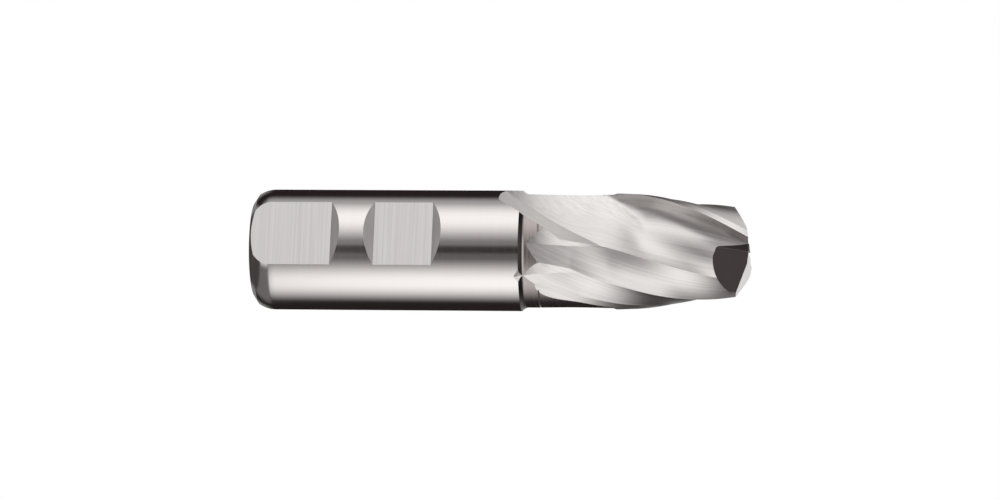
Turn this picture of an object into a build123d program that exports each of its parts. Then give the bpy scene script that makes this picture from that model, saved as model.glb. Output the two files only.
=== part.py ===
"""Slot drill: a two-flute, centre-cutting end mill of high speed steel on a flatted shank.

The tool stands on its shank end with its axis on Z, its cutting end up. The origin is the middle of
the shank's end face. Millimetres and degrees. The driving flats of the shank face -Y.

It is built as the real one is ground. A round blank is turned, two driving flats are ground on the
shank, and each tooth is then formed by grinding wheels. A wheel follows the helix down from the tip
to the height where it settles, and from there it runs out of the work on its own radius.
"""

from build123d import *

from math import cos, pi, radians, sin, sqrt, tan
import os

os.makedirs("parts", exist_ok=True)

# Shank
shank_diameter = 25.0
shank_length = 56.4
rear_face_diameter = 19.6
rear_chamfer_diameter = 23.0
rear_chamfer_length = 1.1
rear_taper_length = 3.4
shoulder_chamfer = 0.3
shoulder_setback = 0.2
shoulder_fillet_length = 1.1
blank_seam_angle = -22.5

# Driving flats
flat_depth = 2.0
front_flat_centre = 32.0
front_flat_length = 12.0
rear_flat_length = 17.0

# Neck and cutting end
overall_length = 103.0
neck_diameter = 23.5
neck_mark_from_shoulder = 3.5
neck_mark_width = 0.4
neck_mark_depth = 0.08
cutting_diameter = 24.0
cutting_length = 27.5
step_length = 0.8

# Teeth
tooth_count = 2
helix_angle = 30.0
edge_angle_at_tip = -86.0
wheel_blend = 2.5

# Relief facets behind each cutting edge. Each has the angle behind the edge that it faces, how far
# below the cutting radius it lies, how far past the cutting length its wheel settles, and its wheel.
# A wheel's rim is crowned. On the helix it leaves a flat, and in its run-out a shallow vee, whose two
# slopes are given: the one behind, on the side away from the edge, then the one ahead.
primary_facing = 7.6
primary_depth = 0.105
secondary_facing = 30.5
secondary_depth = 1.13
secondary_settle = 8.4
tertiary_facing = 45.0
tertiary_depth = 2.14
tertiary_settle = 7.0
tertiary_crown = (0.19, 0.27)
relief_wheel = 36.0
heel_facing = 94.6
heel_depth = 5.36
heel_settle = 1.1
heel_wheel = 30.5
heel_crown = (0.5, 0.22)
no_crown = (0.0, 0.0)
crown_travel = 8.0

# Flute wheel: how far ahead of the edge it plunges, and its rim in that direction's own frame
flute_ahead = 51.4
flute_floor_depth = 8.0
flute_floor_offset = 1.5
flute_ridge_depth = 6.57
flute_ridge_offset = -3.82
flute_bank_slope = 15.0
flute_bank_width = 5.7
flute_side_slope = 58.0
flute_run_out_sag = 0.2
flute_settle = 2.7
flute_wheel = 58.0
flute_setting_angle = 28.8

# Rake face
rake_angle = 8.0
rake_face = 4.9
rake_root = 2.6
rake_root_run_out = 0.2
rake_end = 5.0
rake_run = 11.0
root_fullness = 0.5

# Cutting end
end_relief = 23.5
end_land_relief = 9.0
end_land = 2.2
end_dish = 1.5
gash_ahead = 15.0
gash_wheel_radius = 8.45
gash_wheel_above_tip = 0.9
gash_wheel_offset = -1.6
gash_face_turn = -22.5
gash_face_tilt = 26.6
gash_web = 0.5
gash_root = 1.0

# How far the wheels reach past the work, how far they rise clear of it, and how closely the
# sections of their sweeps are spaced.
clearance = 3.0
overrun = 1.0
facet_spacing = 2.0
flute_spacing = 1.5

shank_radius = shank_diameter / 2
neck_radius = neck_diameter / 2
cutting_radius = cutting_diameter / 2
lead = pi * cutting_diameter / tan(radians(helix_angle))
cutting_start = overall_length - cutting_length
clear_radius = max(shank_radius, cutting_radius) + clearance


def along(angle):
    """Unit vector square to the axis, at an angle about it."""
    return Vector(cos(radians(angle)), sin(radians(angle)), 0)


def edge_angle(tooth, height, settle):
    """Angle of a tooth's edge at a height, as a wheel that settles lower down follows it."""
    above = height - settle
    followed = settle + (above + sqrt(above**2 + wheel_blend**2)) / 2
    turned = 360 * (followed - overall_length) / lead
    return edge_angle_at_tip + 360 * tooth / tooth_count + turned


def run_out(height, settle, wheel, setting_angle=0.0):
    """How far a wheel has risen out of the work, below the height where it settled."""
    travel = max(0.0, settle - height) / cos(radians(setting_angle))
    return wheel - sqrt(wheel**2 - travel**2)


def stations(bottom, spacing):
    """Heights of a cutter's sections, from its end in the run-out to past the tip."""
    top = overall_length + clearance
    steps = round((top - bottom) / spacing)
    return [bottom + (top - bottom) * step / steps for step in range(steps + 1)]


def across(height, outward):
    """Plane across the axis. Its Y looks outward at the given angle, its X against the turn."""
    return Plane(origin=(0, 0, height), x_dir=along(outward - 90), z_dir=(0, 0, 1))


def wheel_bottom(settle, wheel, rise, setting_angle=0.0):
    """Height at which a wheel has risen by a given amount."""
    travel = sqrt(wheel**2 - (wheel - rise) ** 2) * cos(radians(setting_angle))
    return settle - travel


def facet_cutter(tooth, facing, depth, past, wheel, crown):
    """What a wheel grinds off to leave one flat relief facet, and its crown's mark in the run-out."""
    settle = cutting_start - past
    distance = cutting_radius - depth
    bottom = wheel_bottom(settle, wheel, shank_radius - distance + overrun)
    sections = []
    for height in stations(bottom, facet_spacing):
        low = distance + run_out(height, settle, wheel)
        crowned = clear_radius * min(1.0, max(0.0, settle - height) / crown_travel)
        outline = Polyline(
            (-clear_radius, low + crown[1] * crowned),
            (0, low),
            (clear_radius, low + crown[0] * crowned),
            (clear_radius, 2 * clear_radius),
            (-clear_radius, 2 * clear_radius),
            close=True,
        )
        plane = across(height, edge_angle(tooth, height, settle) - facing)
        sections.append(plane * Wire(outline.edges()))
    return Solid.make_loft(sections)


def flute_outline(height):
    """Section of the flute wheel at a height, in its plunge frame: ridge, floor, root and rake."""
    settle = cutting_start - flute_settle
    slide = tan(radians(flute_setting_angle)) * max(0.0, settle - height)
    rise = run_out(height, settle, flute_wheel, flute_setting_angle)

    ridge = Vector(flute_ridge_offset, cutting_radius - flute_ridge_depth)
    bank = radians(180 - flute_bank_slope)
    bank_end = ridge + Vector(cos(bank), sin(bank)) * flute_bank_width
    side = radians(180 - flute_side_slope)
    side_top = bank_end + Vector(cos(side), sin(side)) * clear_radius
    ahead = radians(flute_ahead)
    edge = Vector(sin(ahead), cos(ahead)) * cutting_radius
    inward = ahead + radians(180 - rake_angle)
    inward = Vector(sin(inward), cos(inward))

    share = (height - cutting_start + rake_end) / rake_run
    share = max(0.0, min(1.0, share))
    share = share**2 * (3 - 2 * share)
    corner = edge + inward * rake_face * share
    root = rake_root_run_out + (rake_root - rake_root_run_out) * share
    floor = Vector(flute_floor_offset, cutting_radius - flute_floor_depth)
    spent_floor = (ridge + edge) / 2 - Vector(0, flute_run_out_sag)
    floor = spent_floor + (floor - spent_floor) * share
    root_in = corner + (floor - corner).normalized() * root
    root_out = corner - inward * root
    root_chord = (root_in + root_out) / 2
    root_middle = root_chord + (corner - root_chord) * root_fullness
    rake_top = edge - inward * clear_radius

    lines = [
        Line(side_top, bank_end),
        Line(bank_end, ridge),
        ThreePointArc(ridge, floor, root_in),
        ThreePointArc(root_in, root_middle, root_out),
        Line(root_out, rake_top),
        Line(rake_top, side_top),
    ]
    return [Pos(slide, rise) * line for line in lines]


def flute_cutter(tooth):
    """What the flute wheel grinds out in front of one tooth, with its straight run-out."""
    settle = cutting_start - flute_settle
    bottom = wheel_bottom(settle, flute_wheel, flute_floor_depth + overrun, flute_setting_angle)
    sections = []
    for height in stations(bottom, flute_spacing):
        plane = across(height, edge_angle(tooth, height, settle) + flute_ahead)
        edges = [edge for line in flute_outline(height) for edge in line.edges()]
        sections.append(plane * Wire(edges))
    return Solid.make_loft(sections)


def end_relief_cutter(tooth):
    """What is ground off behind one end cutting edge: a narrow land, then the relief."""
    outward = edge_angle_at_tip + 360 * tooth / tooth_count
    corner = along(outward) * cutting_radius + Vector(0, 0, overall_length)
    dish = radians(end_dish)
    inward = along(outward) * -cos(dish) - Vector(0, 0, sin(dish))
    plane = Plane(origin=corner - inward * clearance, x_dir=along(outward - 90), z_dir=inward)
    reach = 2 * cutting_radius
    land_drop = end_land * tan(radians(end_land_relief))
    reach_drop = land_drop + (reach - end_land) * tan(radians(end_relief))
    outline = Polyline(
        (0, 0),
        (end_land, -land_drop),
        (reach, -reach_drop),
        (reach, clearance),
        (0, clearance),
        close=True,
    )
    return extrude(plane * make_face(outline), 2 * cutting_radius + 2 * clearance)


def gash_cutter(tooth):
    """What the small wheel grinds out in front of one end edge, so that it cuts to the centre."""
    outward = edge_angle_at_tip + 360 * tooth / tooth_count
    toward = along(outward + gash_ahead)
    tip = Vector(0, 0, overall_length)
    view = Plane(origin=tip, x_dir=(0, 0, 1), z_dir=toward)
    wheel = Circle(gash_wheel_radius)
    wheel = Pos(gash_wheel_above_tip, gash_wheel_offset) * wheel
    disc = extrude(view * wheel, 2 * cutting_radius, both=True)

    ahead = along(outward + 90)
    turn = outward + gash_ahead - gash_face_turn
    tilt = radians(gash_face_tilt)
    facing = along(turn) * cos(tilt) + Vector(0, 0, sin(tilt))
    root_line = ahead.cross(facing).normalized()
    up_rake = root_line.cross(ahead)
    up_face = facing.cross(root_line)
    start = tip + up_rake * (gash_web / 2 / up_rake.dot(facing))
    section = Plane(origin=start, x_dir=up_rake, z_dir=root_line)
    opening = section.to_local_coords(start + up_face)
    reach = 2 * cutting_diameter
    wedge = make_face(Polyline((0, 0), (reach, 0), (reach, opening.Y * reach), opening * reach, close=True))
    corner = wedge.vertices().sort_by_distance((0, 0, 0))[0]
    wedge = section * fillet(corner, gash_root)
    return disc & extrude(wedge, reach, both=True)


def turned_blank():
    """The round blank: shank, shoulder, neck with its turned mark, and the cutting diameter."""
    mark = shank_length + neck_mark_from_shoulder
    corner = (shank_radius - shoulder_chamfer, shank_length - shoulder_setback)
    neck_foot = (neck_radius, corner[1] + shoulder_fillet_length)
    with BuildPart() as blank:
        with BuildSketch(Plane.XZ.rotated((0, 0, blank_seam_angle))):
            with BuildLine():
                Polyline(
                    (0, 0),
                    (rear_face_diameter / 2, 0),
                    (rear_chamfer_diameter / 2, rear_chamfer_length),
                )
                taper_end = (shank_radius, rear_chamfer_length + rear_taper_length)
                TangentArc(
                    taper_end,
                    (rear_chamfer_diameter / 2, rear_chamfer_length),
                    tangent=(0, -1),
                )
                Polyline(
                    taper_end,
                    (shank_radius, corner[1] - shoulder_chamfer),
                    corner,
                )
                TangentArc(neck_foot, corner, tangent=(0, -1))
                Polyline(
                    neck_foot,
                    (neck_radius, mark - neck_mark_width / 2),
                    (neck_radius - neck_mark_depth, mark),
                    (neck_radius, mark + neck_mark_width / 2),
                    (neck_radius, cutting_start - step_length),
                    (cutting_radius, cutting_start),
                    (cutting_radius, overall_length),
                    (0, overall_length),
                    (0, 0),
                )
            make_face()
        revolve(axis=Axis.Z)
    return blank.part


def driving_flat(bottom, top):
    """Block that leaves one driving flat, with 45 degree walls where it meets the round shank."""
    floor = shank_radius - flat_depth
    out = floor + clearance
    outline = Polyline(
        (-floor, bottom),
        (-floor, top),
        (-out, top + clearance),
        (-out, bottom - clearance),
        close=True,
    )
    return extrude(Plane.YZ * make_face(outline), shank_diameter, both=True)


def slot_drill():
    reliefs = (
        (tertiary_facing, tertiary_depth, tertiary_settle, tertiary_crown),
        (secondary_facing, secondary_depth, secondary_settle, no_crown),
        (primary_facing, primary_depth, secondary_settle, no_crown),
    )
    tool = turned_blank()
    tool -= driving_flat(front_flat_centre - front_flat_length / 2, front_flat_centre + front_flat_length / 2)
    tool -= driving_flat(-clearance, rear_flat_length)
    for tooth in range(tooth_count):
        tool -= flute_cutter(tooth)
        tool -= facet_cutter(tooth, heel_facing, heel_depth, heel_settle, heel_wheel, heel_crown)
        for facing, depth, settle, crown in reliefs:
            tool -= facet_cutter(tooth, facing, depth, settle, relief_wheel, crown)
    for tooth in range(tooth_count):
        tool -= end_relief_cutter(tooth)
        tool -= gash_cutter(tooth)
    return tool


if __name__ == "__main__":
    tool = slot_drill()
    print(tool.volume, tool.is_valid, len(tool.solids()))
    export_step(tool, "parts/slot_drill.step")
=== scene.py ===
# %% [markdown]
# A slot drill is a milling cutter with two teeth that reach the middle of its end, so that it can plunge
# like a drill and then cut a slot. It is one piece of high speed steel. A bar is turned, two flats are
# ground on its shank for the holder's screws, and grinding wheels then cut the teeth. This lesson makes
# the tool in the same order: a turned blank, then the solid that each wheel sweeps out, then the cuts.
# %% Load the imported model
from math import asin, atan2, cos, hypot, pi, radians, sin, sqrt, tan

import bmesh
import bpy
from mathutils import Matrix, Vector


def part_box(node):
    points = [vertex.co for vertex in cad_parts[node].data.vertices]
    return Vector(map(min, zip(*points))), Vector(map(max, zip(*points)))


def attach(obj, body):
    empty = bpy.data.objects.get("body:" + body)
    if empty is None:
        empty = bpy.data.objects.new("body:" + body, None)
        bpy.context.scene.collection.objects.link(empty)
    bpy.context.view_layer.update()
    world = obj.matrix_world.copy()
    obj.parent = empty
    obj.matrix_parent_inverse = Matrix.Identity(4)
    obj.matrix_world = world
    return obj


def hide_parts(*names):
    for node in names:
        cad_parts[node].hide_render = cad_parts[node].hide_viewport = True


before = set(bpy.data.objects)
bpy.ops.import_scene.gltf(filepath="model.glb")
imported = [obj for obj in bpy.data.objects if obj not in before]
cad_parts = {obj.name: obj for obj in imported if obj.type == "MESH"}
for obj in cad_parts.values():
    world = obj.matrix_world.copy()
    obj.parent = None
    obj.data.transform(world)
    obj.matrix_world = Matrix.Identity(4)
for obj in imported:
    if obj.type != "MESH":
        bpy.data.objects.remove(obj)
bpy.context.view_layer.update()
low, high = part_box("slot_drill")
print("the packed tool is", [round(1000 * size, 2) for size in high - low], "mm")

# %% [markdown]
# The real tool is described by a few sizes, and so is this one, in millimetres and degrees. The lengths
# run from the shank's end, where the tool stands, to the cutting end. Blender works in metres, so every
# point is scaled once, when its mesh is made.
# %% Sizes of the tool
MM = 0.001
shank_radius = 12.5
shank_length = 56.4
neck_radius = 11.75
cutting_radius = 12.0
cutting_start = 75.5
overall_length = 103.0
tooth_count = 2
helix_angle = 30.0
edge_angle_at_tip = -86.0
clearance = 3.0
overrun = 1.0
reach = cutting_radius + clearance + overrun
lead = 2 * pi * cutting_radius / tan(radians(helix_angle))
print("one full turn of a tooth would be", round(lead, 1), "mm long")

# %% [markdown]
# A tree of nodes is easier to read as a formula than as a list of links. This class wraps an output
# socket, and Python's own operators then add Math nodes, so that a line of the script looks like the sum
# that it does.
# %% A formula that builds its own nodes
class Wire:
    """One output socket of a tree."""

    def __init__(self, board, socket):
        self.board, self.socket = board, socket

    def out(self, name):
        return Wire(self.board, self.socket.node.outputs[name])

    def math(self, operation, *values):
        return self.board.node("ShaderNodeMath", dict(operation=operation), *values)

    def __add__(self, other):
        return self.math("ADD", self, other)

    def __sub__(self, other):
        return self.math("SUBTRACT", self, other)

    def __rsub__(self, other):
        return self.math("SUBTRACT", other, self)

    def __mul__(self, other):
        return self.math("MULTIPLY", self, other)

    def __truediv__(self, other):
        return self.math("DIVIDE", self, other)

    def at_least(self, least):
        return self.math("MAXIMUM", self, least)

    def at_most(self, most):
        return self.math("MINIMUM", self, most)

    def size(self):
        return self.math("ABSOLUTE", self)

    def root(self):
        return self.math("SQRT", self)

    __radd__, __rmul__ = __add__, __mul__


# %% [markdown]
# Every other node comes from one method. It sets what the node is before it fills its inputs, because the
# kind of a node decides which inputs it has. Inputs are filled in order or by name.
# %% The board that nodes are put on
class Board:
    """A tree being wired."""

    def __init__(self, tree):
        self.tree = tree

    def node(self, kind, settings=None, *values, **named):
        made = self.tree.nodes.new(kind)
        for name, value in (settings or {}).items():
            setattr(made, name, value)
        for key, value in [*enumerate(values), *named.items()]:
            socket = made.inputs[key if isinstance(key, int) else key.replace("_", " ")]
            if isinstance(value, Wire):
                self.tree.links.new(value.socket, socket)
            else:
                socket.default_value = value
        return Wire(self, made.outputs[0]) if made.outputs else made

    def mix(self, share, first, second):
        """A colour between two others."""
        mixed = self.node("ShaderNodeMix", dict(data_type="RGBA"), share)
        mixed.socket.node.inputs[6].default_value = (*first, 1)
        mixed.socket.node.inputs[7].default_value = (*second, 1)
        return Wire(self, mixed.socket.node.outputs[2])


# %% [markdown]
# The blank is turned in a lathe, so one profile describes it: chamfered and tapered rear end, ground
# shank, shoulder, and a neck that is a little thinner than the shank. The neck carries a fine turned
# line, and a step leads up to the cutting diameter. The two bends leave one end along the axis, which is
# all that an arc needs to be known. A curve with a Screw modifier would give the same shape, but here each
# row of the profile can also say which finish leads up to it.
# %% Profile of the blank
# PAINTED_SHADE rows get a near-black finish, which is painted shade for the dark line at the shoulder.
POLISHED, TURNED, PAINTED_SHADE = range(3)
rear_face_radius = 9.8
rear_chamfer = (11.5, 1.1)
rear_taper_end = (shank_radius, 4.5)
shoulder_chamfer = 0.3
shoulder_setback = 0.2
shoulder_fillet_length = 1.1
neck_mark = 59.9
neck_mark_width = 0.4
neck_mark_depth = 0.08
step_length = 0.8
row_spacing = 1.0
taper_steps = 10
fillet_steps = 8
painted_shade_steps = 5


def tangent_arc(foot, other, count):
    """Points from foot to other, without foot, on the arc that leaves foot along the axis."""
    out, up = other[0] - foot[0], other[1] - foot[1]
    radius = (out * out + up * up) / (2 * out)
    sweeps = [asin(up / radius) * k / count for k in range(1, count + 1)]
    return [(foot[0] + radius * (1 - cos(a)), foot[1] + radius * sin(a)) for a in sweeps]


def straight(start, end):
    """Points of a straight length, without its start."""
    count = max(1, round(hypot(end[0] - start[0], end[1] - start[1]) / row_spacing))
    shares = [k / count for k in range(1, count + 1)]
    return [(start[0] + (end[0] - start[0]) * t, start[1] + (end[1] - start[1]) * t) for t in shares]


corner = (shank_radius - shoulder_chamfer, shank_length - shoulder_setback)
neck_foot = (neck_radius, corner[1] + shoulder_fillet_length)
fillet = tangent_arc(neck_foot, corner, fillet_steps)[::-1]
mark_start = (neck_radius, neck_mark - neck_mark_width / 2)
mark_end = (neck_radius, neck_mark + neck_mark_width / 2)
step_foot = (neck_radius, cutting_start - step_length)
step_top = (cutting_radius, cutting_start)
profile = [(rear_face_radius, 0.0, POLISHED)]
for finish_number, rows in (
    (POLISHED, tangent_arc(rear_taper_end, rear_chamfer, taper_steps)[::-1] + [rear_taper_end]),
    (POLISHED, straight(rear_taper_end, (shank_radius, corner[1] - shoulder_chamfer))),
    # The first rows of the shoulder's fillet carry that painted shade.
    (PAINTED_SHADE, fillet[:painted_shade_steps]),
    (TURNED, fillet[painted_shade_steps:] + [neck_foot] + straight(neck_foot, mark_start)),
    (TURNED, [(neck_radius - neck_mark_depth, neck_mark), mark_end] + straight(mark_end, step_foot)),
    (TURNED, [step_top] + straight(step_top, (cutting_radius, overall_length))),
):
    profile += [(*row, finish_number) for row in rows]
print("the profile has", len(profile), "rows")

# %% [markdown]
# Turning the profile round the axis gives rings of points, one point to a degree, so that the polished
# shank reflects without facets. Quads join the rings, and a disc closes each end. A smoothed cylinder with
# few sides would show its corners along the outline.
# %% Turn the blank
ring_points = 360


def mesh_piece(name, points, faces, finishes=None):
    """An object made from points in millimetres."""
    mesh = bpy.data.meshes.new(name)
    mesh.from_pydata([[MM * value for value in point] for point in points], [], faces)
    if finishes:
        mesh.polygons.foreach_set("material_index", finishes)
    piece = bpy.data.objects.new(name, mesh)
    bpy.context.scene.collection.objects.link(piece)
    return piece


def tube_faces(count, rings):
    """Faces of a closed tube of rings: quads round the side, then its bottom and its top."""
    faces = []
    for base in range(0, count * (rings - 1), count):
        for k in range(count):
            onward = base + (k + 1) % count
            faces.append((base + k, onward, onward + count, base + k + count))
    last = count * (rings - 1)
    return faces + [tuple(range(count))[::-1], tuple(range(last, last + count))]


def round_points(radius, count):
    return [(radius * cos(2 * pi * k / count), radius * sin(2 * pi * k / count)) for k in range(count)]


blank = mesh_piece(
    "blank",
    [(x, y, height) for radius, height, _ in profile for x, y in round_points(radius, ring_points)],
    tube_faces(ring_points, len(profile)),
    [number for *_, number in profile[1:] for _ in range(ring_points)] + [POLISHED, POLISHED],
)
print("the blank has", len(blank.data.polygons), "faces")

# %% [markdown]
# A grinding wheel is plunged to its depth near the tip and led down the helix. Where the teeth end it
# settles: it stops turning about the tool and lifts out on its own radius, which leaves the long tongues
# on the neck. They could be modelled by hand, but the whole rule is a few sums on the height, and then they
# come out of the cut as they do on the machine. These values shape it: how gently the wheel settles, how
# the rake face fades out beforehand, and how the crown of a wheel's rim shows in the run-out.
# %% Values of the wheel's rule
wheel_blend = 2.5
rake_end = 5.0
rake_run = 11.0
crown_travel = 8.0
crown_blend = 1.2
WHEEL_INPUTS = (
    "Ahead of the edge",
    "Bottom",
    "Settles at",
    "Wheel radius",
    "Setting angle",
    "Crown behind",
    "Crown ahead",
)


def softly(value, blend):
    """The value where it is well above 0, and 0 where it is well below, with a smooth bend between."""
    return (value + (value * value + blend**2).root()) / 2


def edge_turn(height, settle):
    """How far round the tool an edge is at a height, in radians."""
    return (softly(height - settle, wheel_blend) + settle - overall_length) * (2 * pi / lead)


# %% [markdown]
# A Geometry Nodes tree applies the rule to a straight prism of the wheel's section, one millimetre tall,
# whose height stands for the way from the run-out to past the tip. Every point is moved to where the
# wheel has carried it. The same tree serves every wheel: only its named inputs change. The attribute
# "spent" holds how far a point of the section moves by the time the rake face has faded out.
# %% The tree that carries a wheel down the helix
def new_tree(name, inputs):
    """A tree of geometry in and out, with more named inputs, and its board."""
    tree = bpy.data.node_groups.new(name, "GeometryNodeTree")
    for title, kind in (("Geometry", "Geometry"), *inputs):
        tree.interface.new_socket(title, in_out="INPUT", socket_type="NodeSocket" + kind)
    tree.interface.new_socket("Geometry", in_out="OUTPUT", socket_type="NodeSocketGeometry")
    return tree, Board(tree)


def section_point(board, place, height):
    """Where a point of the section is at a height, in millimetres, as the rake face fades out."""
    rake = ((height - (cutting_start - rake_end)) / rake_run).at_least(0.0).at_most(1.0)
    rake = rake * rake * (3.0 - rake * 2.0)
    spent = board.node("GeometryNodeInputNamedAttribute", dict(data_type="FLOAT_VECTOR"), "spent")
    moved = board.node("ShaderNodeVectorMath", dict(operation="SCALE"), spent, Scale=1.0 - rake)
    point = board.node("ShaderNodeVectorMath", dict(operation="ADD"), place, moved)
    parts = board.node("ShaderNodeSeparateXYZ", None, point)
    return parts.out("X") / MM, parts.out("Y") / MM


def wheel_tree():
    inputs = [(name, "Float") for name in WHEEL_INPUTS] + [("Finish", "Material")]
    tree, board = new_tree("a wheel's pass", inputs)
    given = board.node("NodeGroupInput")
    ahead, bottom, settle, wheel, setting, crown_behind, crown_ahead = map(given.out, WHEEL_INPUTS)
    place = board.node("GeometryNodeInputPosition")
    share = board.node("ShaderNodeSeparateXYZ", None, place).out("Z") / MM
    height = bottom + (overall_length + clearance - bottom) * share
    across, outward = section_point(board, place, height)

    below = (settle - height).at_least(0.0)
    travel = below / setting.math("COSINE", setting)
    rise = wheel - (wheel * wheel - travel * travel).root()
    crown = across.at_least(0.0) * crown_behind - across.at_most(0.0) * crown_ahead
    crowned = (softly(settle - height, crown_blend) / crown_travel).at_most(1.0)
    x = across + below * setting.math("TANGENT", setting)
    y = outward + rise + crown * crowned
    turn = edge_turn(height, settle) + radians(edge_angle_at_tip) + ahead
    sine, cosine = turn.math("SINE", turn), turn.math("COSINE", turn)
    east, north = (x * sine + y * cosine) * MM, (y * sine - x * cosine) * MM
    placed = board.node("ShaderNodeCombineXYZ", None, east, north, height * MM)
    moved = board.node("GeometryNodeSetPosition", None, given, Position=placed)
    real = board.node("GeometryNodeRealizeInstances", None, moved)
    finished = board.node("GeometryNodeSetMaterial", None, real, Material=given.out("Finish"))
    board.node("NodeGroupOutput", None, finished)
    return tree


wheel_pass = wheel_tree()
print("the wheel's rule takes", len(wheel_pass.nodes), "nodes")

# %% [markdown]
# The cut itself is a second tree. It takes the solid that a wheel has swept, repeats it for each tooth
# round the axis, and takes all of them off the tool, or keeps what two solids share. A Boolean modifier
# could cut too, but in the tree the wheel's own faces are marked before the cut, so that afterwards only
# the faces that it has ground get its finish.
# %% The tree that cuts
def cutting_tree(operation, copies):
    tree, board = new_tree(operation.lower(), [("Wheel", "Object"), ("Finish", "Material")])
    given = board.node("NodeGroupInput")
    wheel = board.node("GeometryNodeObjectInfo", None, given.out("Wheel")).out("Geometry")
    marked = board.node("GeometryNodeCaptureAttribute", dict(domain="FACE"))
    marked.socket.node.capture_items.new("BOOLEAN", "Ground")
    tree.links.new(wheel.socket, marked.socket.node.inputs["Geometry"])
    marked.socket.node.inputs["Ground"].default_value = True
    cut = board.node("GeometryNodeMeshBoolean", dict(operation=operation, solver="MANIFOLD"))
    first, second = cut.socket.node.inputs[:2]
    tree.links.new(given.socket, first if operation == "DIFFERENCE" else second)
    for copy in range(copies):
        turned = board.node("GeometryNodeTransform", None, marked, Rotation=(0, 0, 2 * pi * copy / copies))
        tree.links.new(turned.socket, second)
    real = board.node("GeometryNodeRealizeInstances", None, cut)
    ground_faces = marked.out("Ground")
    finished = board.node(
        "GeometryNodeSetMaterial", None, real, Selection=ground_faces, Material=given.out("Finish")
    )
    board.node("NodeGroupOutput", None, finished)
    return tree


def made_by(piece, tree, name, **inputs):
    """The plain mesh that a tree makes of a piece. The piece and its modifier are gone afterwards."""
    modifier = piece.modifiers.new(tree.name, "NODES")
    modifier.node_group = tree
    for socket in tree.interface.items_tree:
        if socket.in_out == "INPUT" and socket.name in inputs:
            modifier[socket.identifier] = inputs[socket.name]
    bpy.context.view_layer.update()
    evaluated = piece.evaluated_get(bpy.context.evaluated_depsgraph_get())
    made = bpy.data.objects.new(name, bpy.data.meshes.new_from_object(evaluated))
    bpy.data.objects.remove(piece)
    bpy.context.scene.collection.objects.link(made)
    return made


cut_once = cutting_tree("DIFFERENCE", 1)
cut_each_tooth = cutting_tree("DIFFERENCE", tooth_count)
keep_shared = cutting_tree("INTERSECT", 1)
print("trees:", [tree.name for tree in bpy.data.node_groups])

# %% [markdown]
# All the finishes are bare steel. Most differ by the tool that touched it last, and each such tool leaves
# fine lines along its own travel; the shoulder's fillet and the gash are painted dark instead, as painted
# shade.
# The lines are one noise pattern, stretched a hundred times longer than wide, and it changes three things a
# little: the colour, the roughness and the height of the surface.
# %% A steel finish with the lines of its tool
def steel(name, colour, roughness, lines=None, tint=0.0, spread=0.0, depth=0.0):
    """Bare steel. Its lines change its colour by a share, its roughness, and its surface by millimetres."""
    material = bpy.data.materials.new(name)
    material.use_nodes = True
    shader = material.node_tree.nodes["Principled BSDF"]
    shader.inputs["Base Color"].default_value = (*colour, 1)
    shader.inputs["Metallic"].default_value = 1.0
    shader.inputs["Roughness"].default_value = roughness
    if lines:
        board = Board(material.node_tree)
        pattern = lines(board)
        dark, light = ([part * (1 + side * tint) for part in colour] for side in (-1, 1))
        bump = board.node("ShaderNodeBump", None, Strength=1.0, Distance=depth * MM, Height=pattern)
        for socket, value in (
            ("Base Color", board.mix(pattern + 0.5, dark, light)),
            ("Roughness", pattern * spread + roughness),
            ("Normal", bump),
        ):
            board.tree.links.new(value.socket, shader.inputs[socket])
    return material


def noise(board, place, per_mm, detail):
    """Noise from -0.5 to 0.5, with so many features to a millimetre along each axis."""
    scaled = board.node("ShaderNodeMapping", None, Vector=place, Scale=tuple(n / MM for n in per_mm))
    return board.node("ShaderNodeTexNoise", None, Vector=scaled, Scale=1.0, Detail=detail).out("Fac") - 0.5


def own_place(board):
    return board.node("ShaderNodeTexCoord").out("Object")


# %% [markdown]
# A lathe or a cylindrical grinder leaves rings round the axis, so their noise changes fast with height.
# The flats are ground across the shank, which looks the same on a flat. A wheel that follows the helix
# leaves helical lines: turning each point back by the helix makes them straight. The wheel also climbs as
# it leaves the work, and its lines climb with it, so the noise is read mostly on a cylinder of one
# radius, and only a share of it changes with the depth. Each set of lines is given by how many there are to
# a millimetre along X, Y and the axis.
# %% Lines round, across and along the helix
RING_LINES = (0.06, 0.06, 3.0)
CROSS_LINES = (0.05, 0.05, 3.2)
FINE_HELIX_LINES = (3.6, 3.6, 0.12)
BROAD_HELIX_LINES = (0.9, 0.9, 0.06)
broad_share = 0.5
line_radius = 9.0
depth_share = 0.3


def turned_lines(board):
    return noise(board, own_place(board), RING_LINES, detail=3.0)


def crossed_lines(board):
    return noise(board, own_place(board), CROSS_LINES, detail=2.0)


def helical_lines(board):
    place = own_place(board)
    height = board.node("ShaderNodeSeparateXYZ", None, place).out("Z")
    back = height * (-2 * pi / lead / MM)
    untwisted = board.node("ShaderNodeVectorRotate", dict(rotation_type="Z_AXIS"), Vector=place, Angle=back)
    flat = board.node("ShaderNodeVectorMath", dict(operation="MULTIPLY"), untwisted, (1, 1, 0))
    outward = board.node("ShaderNodeVectorMath", dict(operation="NORMALIZE"), flat)
    around = board.node("ShaderNodeVectorMath", dict(operation="SCALE"), outward, Scale=line_radius * MM)
    depth = board.node("ShaderNodeVectorMath", dict(operation="SCALE"), untwisted, Scale=depth_share)
    pattern = board.node("ShaderNodeVectorMath", dict(operation="ADD"), around, depth)
    fine = noise(board, pattern, FINE_HELIX_LINES, detail=2.0)
    broad = noise(board, pattern, BROAD_HELIX_LINES, detail=1.0)
    return fine + broad * broad_share
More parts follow.
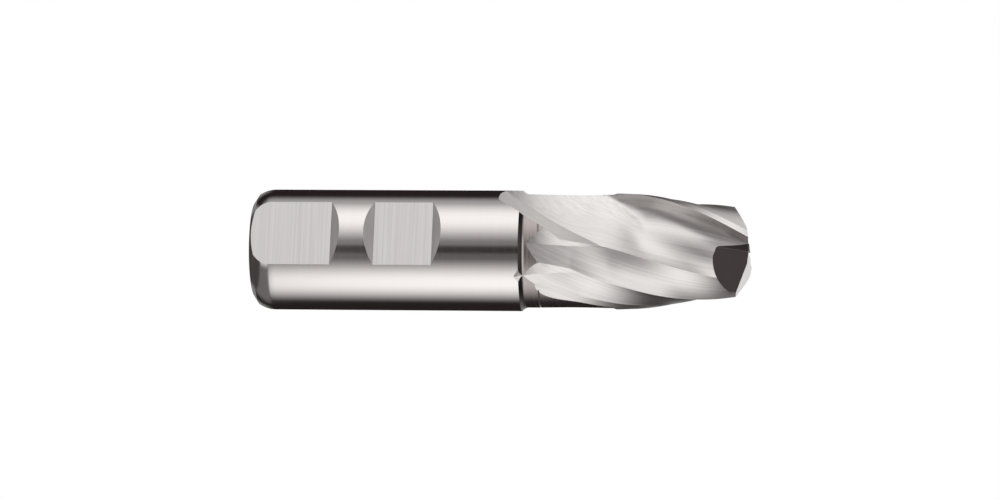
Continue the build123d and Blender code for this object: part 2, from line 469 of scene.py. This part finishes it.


# %% [markdown]
# The shank is ground and polished, so it is the smoothest. The neck is only turned, and hardening has
# left it browner. The shoulder's fillet is painted nearly black, as painted shade for its dark line. The
# teeth are ground bright. The gash is cut last with a small coarse wheel, and its faces are painted dark as
# painted shade.
# %% The finishes
polished_colour = (0.745, 0.71, 0.695)
turned_colour = (0.42, 0.37, 0.355)
painted_shade_colour = (0.08, 0.07, 0.07)
flat_colour = (0.71, 0.69, 0.68)
ground_colour = (0.75, 0.722, 0.708)
# Painted shade: the gash's faces are coloured dark brown to stand for the shade in its deep recess at the
# tip.
gash_shade_colour = (0.245, 0.205, 0.205)
polished = steel("polished_shank", polished_colour, 0.14, turned_lines, tint=0.03, spread=0.05, depth=0.001)
turned = steel("turned_neck", turned_colour, 0.28, turned_lines, tint=0.12, spread=0.1, depth=0.003)
# Painted shade: the shoulder's fillet is coloured nearly black to stand for the dark line it shows.
painted_shade_edge = steel("shoulder_painted_shade", painted_shade_colour, 0.4)
crossed = steel("cross_ground_flat", flat_colour, 0.4, crossed_lines, tint=0.16, spread=0.15, depth=0.003)
ground = steel("ground_tooth", ground_colour, 0.33, helical_lines, tint=0.24, spread=0.12, depth=0.002)
ground_end = steel("ground_end", ground_colour, 0.3)
painted_shade_gash = steel("ground_gash", gash_shade_colour, 0.3)
for material in (polished, turned, painted_shade_edge):
    blank.data.materials.append(material)
print("finishes:", [material.name for material in bpy.data.materials])

# %% [markdown]
# Each wheel starts as a prism of its section: X across the wheel, against the turn, and Y outwards. Many
# rings let it bend smoothly. The tree then bends it, and the result is kept as a plain mesh. A wheel is
# given by how far ahead of the edge it stands, how far past the full teeth it settles, its radius, and how
# far it has to rise to leave the work.
# %% Sweep a section by the wheel's rule
ring_spacing = 0.35
NO_CROWN = (0.0, 0.0)


def swept(name, section, ahead, past, wheel, rise, setting=0.0, crown=NO_CROWN, spent=None):
    """The solid that a wheel grinds away, from where it has risen out of the work to past the tip."""
    settle = cutting_start - past
    bottom = settle - sqrt(wheel**2 - (wheel - rise) ** 2) * cos(radians(setting))
    count = len(section)
    rings = round((overall_length + clearance - bottom) / ring_spacing) + 1
    points = [(x, y, ring / (rings - 1)) for ring in range(rings) for x, y in section]
    piece = mesh_piece(name + " prism", points, tube_faces(count, rings))
    moves = [MM * part for x, y in (spent or [(0, 0)] * count) for part in (x, y, 0)]
    piece.data.attributes.new("spent", "FLOAT_VECTOR", "POINT").data.foreach_set("vector", moves * rings)
    values = (radians(ahead), bottom, settle, wheel, radians(setting), *crown)
    return made_by(piece, wheel_pass, name, Finish=ground, **dict(zip(WHEEL_INPUTS, values)))


# %% [markdown]
# Behind each cutting edge the tooth is ground back in four flat facets, so that only the edge touches the
# work. Each is given by the angle behind the edge that it faces and how far it lies below the cutting
# radius. The wide wheels are slightly crowned, and in their run-out they leave a shallow vee.
# %% Relief facets
relief_wheel = 36.0
heel_wheel = 30.5
facet_steps = 30
FACETS = {
    "primary relief": dict(facing=7.6, depth=0.105, past=8.4, wheel=relief_wheel, half=6.0),
    "secondary relief": dict(facing=30.5, depth=1.13, past=8.4, wheel=relief_wheel, half=9.0),
    "tertiary relief": dict(
        facing=45.0, depth=2.14, past=7.0, wheel=relief_wheel, half=9.0, crown=(0.19, 0.27)
    ),
    "heel": dict(facing=94.6, depth=5.36, past=1.1, wheel=heel_wheel, half=12.5, crown=(0.5, 0.22)),
}


def facet(name, facing, depth, past, wheel, half, crown=NO_CROWN):
    distance = cutting_radius - depth
    rim = [(half * (2 * k / facet_steps - 1), distance) for k in range(facet_steps + 1)]
    section = rim + [(half, 2 * reach), (-half, 2 * reach)]
    return swept(name, section, -facing, past, wheel, shank_radius - distance + overrun, crown=crown)


cutters = [facet(name, **values) for name, values in FACETS.items()]
print("facets:", [cutter.name for cutter in cutters])

# %% [markdown]
# The flute carries the chips away. Its wheel is dressed to one outline: the far side, the bank up to the
# ridge, the hollow floor, a rounded root, and the rake face that ends at the cutting edge. In the run-out
# the rake face and the hollow fade out together.
# %% Section of the flute wheel
flute_ahead = 51.4
rake_angle = 8.0
rake_face = 4.9
rake_root = (0.2, 2.6)
root_fullness = 0.5
ridge_depth = 6.57
ridge_offset = -3.82
floor_depth = 8.0
floor_offset = 1.5
flute_sag = 0.2
bank_slope, bank_width = 15.0, 5.7
side_slope = 58.0
SIDE_STEPS, BANK_STEPS, HOLLOW_STEPS, ROOT_STEPS, RAKE_STEPS = 10, 40, 50, 30, 40
flute_ridge = Vector((ridge_offset, cutting_radius - ridge_depth))
flute_floor = Vector((floor_offset, cutting_radius - floor_depth))


def heading(angle):
    return Vector((cos(radians(angle)), sin(radians(angle))))


def through(start, middle, end, count):
    """Points of the circle from start to end by way of middle, without its end."""
    a, b = middle - start, end - start
    twist = 2 * (a.x * b.y - a.y * b.x)
    hub = Vector((b.y * a.dot(a) - a.y * b.dot(b), a.x * b.dot(b) - b.x * a.dot(a))) / twist
    first, last = atan2(-hub.y, -hub.x), atan2((b - hub).y, (b - hub).x)
    turn = (last - first) % (2 * pi) - (2 * pi if twist < 0 else 0)
    angles = [first + turn * k / count for k in range(count)]
    return [start + hub + hub.length * Vector((cos(angle), sin(angle))) for angle in angles]


def between(start, end, count):
    return [start + (end - start) * k / count for k in range(count)]


def flute_section(share):
    """The wheel's outline, with so much of the rake face left."""
    edge = heading(90 - flute_ahead) * cutting_radius
    inward = heading(rake_angle - flute_ahead - 90)
    rake_corner = edge + inward * rake_face * share
    spent_floor = (flute_ridge + edge) / 2 - Vector((0, flute_sag))
    floor = spent_floor.lerp(flute_floor, share)
    root = rake_root[0] + (rake_root[1] - rake_root[0]) * share
    root_in = rake_corner + (floor - rake_corner).normalized() * root
    root_out = rake_corner - inward * root
    root_middle = ((root_in + root_out) / 2).lerp(rake_corner, root_fullness)
    bank_end = flute_ridge + heading(180 - bank_slope) * bank_width
    side_top = bank_end + heading(180 - side_slope) * reach
    rake_top = edge - inward * reach
    return [
        *between(side_top, bank_end, SIDE_STEPS),
        *between(bank_end, flute_ridge, BANK_STEPS),
        *through(flute_ridge, floor, root_in, HOLLOW_STEPS),
        *through(root_in, root_middle, root_out, ROOT_STEPS),
        *between(root_out, rake_top, RAKE_STEPS),
        rake_top,
    ]


# %% [markdown]
# The flute wheel is set at an angle to the tool, near the helix's own, so its run-out slides sideways as it
# rises. The outline is drawn twice, with the whole rake face and with none of it. Both have the same number
# of points, so the attribute "spent" can say how far each point moves from the one to the other.
# %% Sweep the flute
flute_past = 2.7
flute_wheel = 58.0
flute_setting = 28.8
flute_rise = floor_depth + overrun

full, faded = flute_section(1.0), flute_section(0.0)
spent = [end - start for start, end in zip(full, faded)]
cutters.append(
    swept("flute", full, flute_ahead, flute_past, flute_wheel, flute_rise, flute_setting, spent=spent)
)
print("the flute's solid has", len(cutters[-1].data.polygons), "faces")

# %% [markdown]
# The end is ground with flat wheels. Behind each end edge lies a narrow land and then a steeper relief,
# dished a little so that the outer corners cut first. One outline, drawn across the edge and extended
# along it, is the solid to take away.
# %% End relief
end_land = 2.2
end_land_relief = 9.0
end_relief = 23.5
end_dish = 1.5
UP = Vector((0, 0, 1))
tip = UP * overall_length


def along(angle):
    """Unit vector square to the axis."""
    return Vector((cos(radians(angle)), sin(radians(angle)), 0))


def bar(name, outline, origin, x_dir, z_dir, start, end, finish):
    """A straight bar of an outline that is drawn on a plane, from start to end along its normal."""
    y_dir = z_dir.cross(x_dir)
    points = [origin + x_dir * x + y_dir * y + z_dir * z for z in (start, end) for x, y in outline]
    piece = mesh_piece(name, points, tube_faces(len(outline), 2))
    piece.data.materials.append(finish)
    work = bmesh.new()
    work.from_mesh(piece.data)
    bmesh.ops.recalc_face_normals(work, faces=work.faces)
    work.to_mesh(piece.data)
    work.free()
    return piece


far = 2 * cutting_radius
land_drop = end_land * tan(radians(end_land_relief))
far_drop = land_drop + (far - end_land) * tan(radians(end_relief))
inward = along(edge_angle_at_tip) * -cos(radians(end_dish)) - UP * sin(radians(end_dish))
cutters.append(
    bar(
        "end relief",
        [(0, 0), (end_land, -land_drop), (far, -far_drop), (far, clearance), (0, clearance)],
        tip + along(edge_angle_at_tip) * cutting_radius - inward * clearance,
        along(edge_angle_at_tip - 90),
        inward,
        0,
        far + 2 * clearance,
        ground_end,
    )
)
print("the end relief drops", round(far_drop, 2), "mm over", far, "mm")

# %% [markdown]
# The gash opens the middle of the end, so that the two end edges can meet near the centre and the tool
# can plunge. It is cut with the corner of a small wheel. The solid is what a disc, the wheel's round
# outline, shares with a wedge, the rounded corner of its rim.
# %% Gash
gash_ahead = 15.0
gash_disc = 8.45
gash_above_tip = 0.9
gash_offset = -1.6
gash_face_turn = -22.5
gash_face_tilt = 26.6
gash_web = 0.5
gash_root = 1.0
gash_disc_points = 180
gash_root_steps = 24


def gash():
    circle = [(gash_above_tip + x, gash_offset + y) for x, y in round_points(gash_disc, gash_disc_points)]
    disc = bar("gash disc", circle, tip, UP, along(edge_angle_at_tip + gash_ahead), -far, far, painted_shade_gash)

    ahead = along(edge_angle_at_tip + 90)
    tilt = radians(gash_face_tilt)
    facing = along(edge_angle_at_tip + gash_ahead - gash_face_turn) * cos(tilt) + UP * sin(tilt)
    root_line = ahead.cross(facing).normalized()
    up_rake, up_face = root_line.cross(ahead), facing.cross(root_line)
    start = tip + up_rake * (gash_web / 2 / up_rake.dot(facing))

    first = Vector((1, 0))
    second = Vector((up_face.dot(up_rake), up_face.dot(root_line.cross(up_rake)))).normalized()
    half = first.angle(second) / 2
    middle = (first + second).normalized()
    setback = gash_root / tan(half)
    nearest = middle * (gash_root / sin(half) - gash_root)
    outline = through(second * setback, nearest, first * setback, gash_root_steps)
    outline += [first * setback, first * 2 * far, (first + second) * 2 * far, second * 2 * far]
    wedge = bar("gash wedge", outline, start, up_rake, root_line, -2 * far, 2 * far, painted_shade_gash)
    made = made_by(disc, keep_shared, "gash", Wheel=wedge, Finish=painted_shade_gash)
    bpy.data.objects.remove(wedge)
    return made


cutters.append(gash())
print("the gash's solid has", len(cutters[-1].data.polygons), "faces")

# %% [markdown]
# The holder's screws press on two flats on one side of the shank. Each is ground straight across, and its
# walls lean out at 45 degrees. The rear one is open at the shank's end.
# %% Driving flats
flat_depth = 2.0
FLATS = {"front flat": (26.0, 38.0), "rear flat": (-clearance, 17.0)}


def driving_flat(name, bottom, top):
    floor = shank_radius - flat_depth
    out = floor + clearance
    outline = [(-floor, bottom), (-floor, top), (-out, top + clearance), (-out, bottom - clearance)]
    across = Vector((1, 0, 0))
    return bar(name, outline, Vector(), Vector((0, 1, 0)), across, -shank_length, shank_length, crossed)


flats = [driving_flat(name, *ends) for name, ends in FLATS.items()]
print("flats:", [flat.name for flat in flats])

# %% [markdown]
# Now the grinding. Each solid is taken off in turn: flats, reliefs, flute, end relief and gash. After each
# cut the modifier's result is kept as a plain mesh, so that the next cut starts from it.
# %% Grind the blank
tool = blank
for tree, solids in ((cut_once, flats), (cut_each_tooth, cutters)):
    for solid in solids:
        tool = made_by(tool, tree, "ground_tool", Wheel=solid, Finish=solid.data.materials[0])
        print("after the", solid.name, "the tool has", len(tool.data.polygons), "faces")
        bpy.data.objects.remove(solid)

# %% [markdown]
# The cutting leaves points that only two edges meet in, along a line that two faces share. They shape
# nothing, and each can turn into a pair of tiny triangles back to back, so they are taken out. Faces that
# meet at more than a few degrees stay sharp, as ground edges are, and all the others are shaded smooth.
# %% Clean and shade the ground surfaces
sharp_angle = 6.0


def clean(piece):
    work = bmesh.new()
    work.from_mesh(piece.data)
    spare = [point for point in work.verts if len(point.link_edges) == 2]
    bmesh.ops.dissolve_verts(work, verts=spare)
    open_edges = sum(not edge.is_manifold for edge in work.edges)
    print("took out", len(spare), "points, which left", open_edges, "open edges")
    work.to_mesh(piece.data)
    work.free()


clean(tool)
tool.data.polygons.foreach_set("use_smooth", [True] * len(tool.data.polygons))
tool.data.set_sharp_from_angle(angle=radians(sharp_angle))
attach(tool, "root")
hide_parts("slot_drill")
print("the ground tool measures", [round(size / MM, 2) for size in tool.dimensions], "mm")

# %% [markdown]
# The camera looks almost square at the axis, a little from the tip's side, with the flats turned a little
# up and away, and the picture is turned so that the tool lies on its side. It stands far off and its lens
# is long, so the tool's far end is drawn almost as large as its near one.
# %% Camera
view_angle = -71.0
lift = 5.3
roll = 0.33
camera_distance = 900.0
sensor = 36.0
picture_pixels = 1000.0
pixels_per_mm = 4.82
aim = (51.15, 0.16)

toward = along(view_angle) * cos(radians(lift)) + UP * sin(radians(lift))
right = (UP - toward * toward.z).normalized()
upward = toward.cross(right)
level = Matrix((right, upward, toward)).transposed()
camera_data = bpy.data.cameras.new("camera")
camera_data.sensor_width = sensor
camera_data.lens = sensor * pixels_per_mm * camera_distance / picture_pixels
camera = bpy.data.objects.new("camera", camera_data)
bpy.context.scene.collection.objects.link(camera)
place = (UP * aim[0] + toward * camera_distance + upward * aim[1]) * MM
camera.matrix_world = Matrix.Translation(place) @ (level @ Matrix.Rotation(radians(roll), 3, "Z")).to_4x4()
bpy.context.scene.camera = camera
print("the lens is", round(camera_data.lens, 1), "mm long")

# %% [markdown]
# Bright steel shows little but its surroundings, so the light is most of the picture. A photographer
# surrounds such a tool with a dark tent and hangs soft panels in it: a long strip above and one below the
# camera for the two bright bands on the shank, smaller ones that each find the side of some tooth, dim ones
# where the tent would look black, and some behind the tool, for its other sides. Area lamps would do too,
# but they have hard rims, which a polished shank shows. Here the tent is a large sphere that the camera
# sees through. A panel is given by its angle from the camera round the axis, plus being upwards in the
# picture, its angle towards the tip, how far its flat part reaches and how wide its fading rim is, first
# round the axis and then along it, and its radiance.
# %% Panels of the tent
tent_radius = 2.0
brightest = 1.3
tent_cloth = (0.016, 0.012, 0.013)
tent_segments = 96
PANELS = {
    "strip above": (64, -4, 2, 60, 20, 12, 1.24),
    "strip below": (-64, 5, 2, 56, 13, 8, 1.3),
    "upper edge of the shank": (98, -12, 6, 24, 7, 5, 0.45),
    "between the strips, above": (17, -4, 5, 6, 20, 12, 0.2),
    "between the strips, below": (-12, -4, 4, 6, 20, 12, 0.1),
    "towards the tip": (-12, 26, 30, 28, 9, 10, 1.3),
    "towards the shank": (20, -27, 35, 30, 10, 7, 1.3),
    "behind, above": (140, 16, 50, 30, 6, 7, 0.8),
    "behind, level with the tip": (-170, 11, 10, 15, 5, 6, 1.15),
    "behind, for the end": (-150, 26, 20, 15, 5, 6, 0.9),
    "behind, level with the floor": (180, -26, 20, 20, 8, 8, 0.25),
    "above, far towards the shank": (95, -58, 30, 22, 14, 9, 0.35),
    "in front, beyond the tip": (40, 35, 20, 25, 15, 15, 0.42),
    "in front, below the shank": (-70, -28, 40, 30, 12, 8, 0.16),
    "round the shank's end": (0, -60, 180, 1, 15, 10, 0.05),
    "beyond the tip": (0, 90, 180, 1, 16, 12, 1.0),
    "beyond the shank's end": (0, -90, 180, 1, 12, 10, 0.7),
}


def plain_material(name):
    """A material with an empty tree, and its board."""
    material = bpy.data.materials.new(name)
    material.use_nodes = True
    material.node_tree.nodes.clear()
    return material, Board(material.node_tree)


def within(board, apart, flat, fade):
    """1 on the flat part of a panel, falling smoothly to 0 over its rim."""
    settings = dict(interpolation_type="SMOOTHSTEP")
    return board.node("ShaderNodeMapRange", settings, apart.size(), flat, flat + fade, 1.0, 0.0)


def tent_angles(board):
    """The two angles, in degrees, at which a point of the tent is seen from the tool."""
    place = own_place(board)
    settings = dict(rotation_type="Z_AXIS")
    faced = board.node("ShaderNodeVectorRotate", settings, Vector=place, Angle=radians(-view_angle))
    parts = board.node("ShaderNodeSeparateXYZ", None, faced)
    level = parts.out("Z") / tent_radius
    turn = parts.math("ARCTAN2", parts.out("Y"), parts.out("X")) * (-180 / pi)
    return turn, level.math("ARCSINE", level) * (180 / pi)


# %% [markdown]
# Two angles are worked out for every point of the tent, so each panel is the product of two soft steps.
# Where panels overlap, the brighter one counts. The result goes from the tent's dark cloth to white, and
# one emission shader gives it off. The tent is no part of the tool.
# %% Hang the tent
def light_tent():
    material, board = plain_material("light tent")
    turn, rise = tent_angles(board)
    light = 0.0
    for turn_at, rise_at, flat_turn, fade_turn, flat_rise, fade_rise, radiance in PANELS.values():
        apart = turn - turn_at
        apart = apart.math("WRAP", apart, 180.0, -180.0)
        across = within(board, apart, flat_turn, fade_turn)
        panel = across * within(board, rise - rise_at, flat_rise, fade_rise)
        light = (panel * (radiance / brightest)).at_least(light)
    colour = board.mix(light, tent_cloth, (1, 1, 1))
    emission = board.node("ShaderNodeEmission", None, Color=colour, Strength=brightest)
    board.node("ShaderNodeOutputMaterial", None, emission)

    work = bmesh.new()
    bmesh.ops.create_uvsphere(
        work, u_segments=tent_segments, v_segments=tent_segments // 2, radius=tent_radius
    )
    mesh = bpy.data.meshes.new("light tent")
    work.to_mesh(mesh)
    work.free()
    mesh.materials.append(material)
    tent = bpy.data.objects.new("light tent", mesh)
    tent.location = UP * (overall_length / 2) * MM
    tent.visible_camera = False
    bpy.context.scene.collection.objects.link(tent)
    print("the tent has", len(PANELS), "panels")


light_tent()

# %% [markdown]
# The background is plain white, which only the camera sees, because the tent hides it from everything
# else. The tool stands on a small white floor, which the camera sees nearly from its edge. For the camera
# three quarters of the floor's white is its own, so it joins the background, and the rest is lit and keeps
# the tool's shadow. The polished shank doesn't mirror it.
# %% White background and floor
floor_radius = 90.0
floor_white = 0.9
own_share = 0.75
own_white = 1.25
floor_points = 96


def background():
    world = bpy.data.worlds.new("white")
    world.use_nodes = True
    world.node_tree.nodes["Background"].inputs["Color"].default_value = (1, 1, 1, 1)
    world.node_tree.nodes["Background"].inputs["Strength"].default_value = 1.0
    bpy.context.scene.world = world


def floor():
    material, board = plain_material("floor")
    seen = board.node("ShaderNodeLightPath").out("Is Camera Ray") * own_share
    lit = board.node("ShaderNodeBsdfDiffuse", None, (floor_white, floor_white, floor_white, 1))
    own = board.node("ShaderNodeEmission", None, (1, 1, 1, 1), own_white)
    board.node("ShaderNodeOutputMaterial", None, board.node("ShaderNodeMixShader", None, seen, lit, own))
    rim = [(x, y, 0) for x, y in round_points(floor_radius, floor_points)]
    disc = mesh_piece("floor", rim, [tuple(range(len(rim)))])
    disc.data.materials.append(material)
    disc.visible_glossy = False


background()
floor()
bpy.context.scene.view_settings.view_transform = "Standard"
